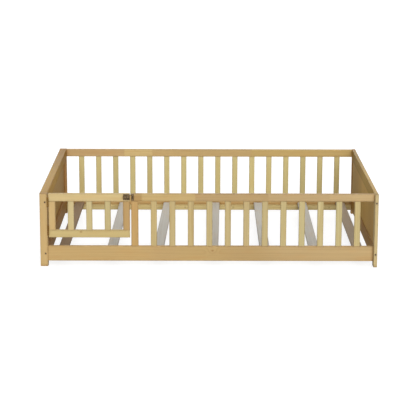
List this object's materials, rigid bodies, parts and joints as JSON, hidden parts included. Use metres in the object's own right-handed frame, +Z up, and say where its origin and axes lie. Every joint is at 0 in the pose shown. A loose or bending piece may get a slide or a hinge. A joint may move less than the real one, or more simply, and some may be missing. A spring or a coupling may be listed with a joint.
{
  "type": "toddler floor bed",
  "caption": "Low wooden floor bed with framed ends, slatted fences along both sides, a hinged gate with a sliding bolt at one end of the front, and a slatted deck.",
  "frame": {"origin": "middle of the bed's footprint, on the floor", "axes": "+X along the bed, away from the gate end; +Y from the front fence to the back fence; +Z up"},
  "size_m": [2, 1.4462, 0.44],
  "materials": {
    "rail_wood": "clear satin lacquer",
    "post_wood": "clear satin lacquer",
    "gate_wood": "clear satin lacquer",
    "slat_wood": "clear satin lacquer",
    "panel_wood": "clear satin lacquer",
    "deck_wood": "bare planed wood",
    "bronze": "dark bronze",
    "steel": "dark zinc"
  },
  "bodies": {
    "frame": {"back_bottom_rail": "rail_wood", "back_ledge": "rail_wood", "back_slats": "slat_wood", "back_top_rail": "rail_wood", "barrel_nuts": "steel", "floor_screws": "steel", "floor_slat_1": "deck_wood", "floor_slat_2": "deck_wood", "floor_slat_3": "deck_wood", "floor_slat_4": "deck_wood", "floor_slat_5": "deck_wood", "floor_slat_6": "deck_wood", "floor_slat_7": "deck_wood", "front_bottom_rail": "rail_wood", "front_ledge": "rail_wood", "front_slat_01": "slat_wood", "front_slat_02": "slat_wood", "front_slat_03": "slat_wood", "front_slat_04": "slat_wood", "front_slat_05": "slat_wood", "front_slat_06": "slat_wood", "front_slat_07": "slat_wood", "front_slat_08": "slat_wood", "front_slat_09": "slat_wood", "front_slat_10": "slat_wood", "front_slat_11": "slat_wood", "front_slat_12": "slat_wood", "front_top_rail": "rail_wood", "gate_post": "post_wood", "latch_keeper": "bronze", "left_bottom_rail": "rail_wood", "left_front_post": "post_wood", "left_panel": "panel_wood", "left_rear_post": "post_wood", "left_top_rail": "rail_wood", "lower_hinge_pin": "bronze", "lower_hinge_post_leaf": "bronze", "post_bolts": "steel", "post_hinge_screws": "bronze", "rail_bolts": "steel", "right_bottom_rail": "rail_wood", "right_front_post": "post_wood", "right_panel": "panel_wood", "right_rear_post": "post_wood", "right_top_rail": "rail_wood", "upper_hinge_pin": "bronze", "upper_hinge_post_leaf": "bronze"},
    "gate": {"gate_bottom_rail": "gate_wood", "gate_hinge_screws": "bronze", "gate_hinge_stile": "gate_wood", "gate_latch_stile": "gate_wood", "gate_slat_1": "slat_wood", "gate_slat_2": "slat_wood", "gate_slat_3": "slat_wood", "gate_top_rail": "gate_wood", "upper_hinge_gate_leaf": "bronze", "lower_hinge_gate_leaf": "bronze", "latch_body": "bronze"},
    "bolt": {"latch_bolt": "bronze"}
  },
  "joints": [
    {"name": "gate_swing", "type": "hinge", "parent": "frame", "child": "gate", "pos_m": [-0.9515, -0.7079, 0.3035], "axis": [0, 0, -1], "range_deg": [0, 170]},
    {"name": "latch_slide", "type": "slide", "parent": "gate", "child": "bolt", "axis": [1, 0, 0], "range_m": [0, 0.017]}
  ]
}
